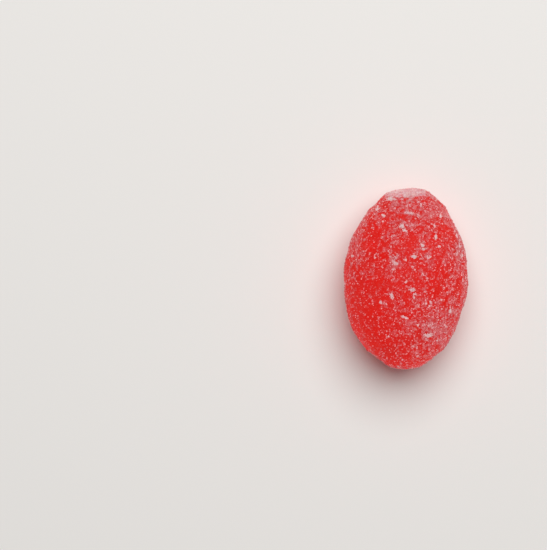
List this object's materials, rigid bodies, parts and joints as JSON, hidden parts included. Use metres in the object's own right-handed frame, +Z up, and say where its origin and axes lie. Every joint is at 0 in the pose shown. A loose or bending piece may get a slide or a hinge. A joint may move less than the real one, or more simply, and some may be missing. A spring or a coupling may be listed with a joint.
{
  "type": "hard candy drop",
  "caption": "Sugar-sanded boiled sweet: a plump oval drop with one rounded tip, a small snapped facet at the other end, and a crust of fused sugar grains.",
  "frame": {"origin": "on the surface that the drop rests on, under the middle of its box", "axes": "+Y along the drop towards its snapped end, +X across it, +Z up from the flat spot that it rests on"},
  "size_m": [0.0172, 0.025, 0.0151],
  "materials": {
    "sugared_candy": "clear red boiled sugar under a crust of fine white sugar grains, matt and sparkling"
  },
  "bodies": {
    "root": {"candy_drop": "sugared_candy"}
  },
  "joints": []
}
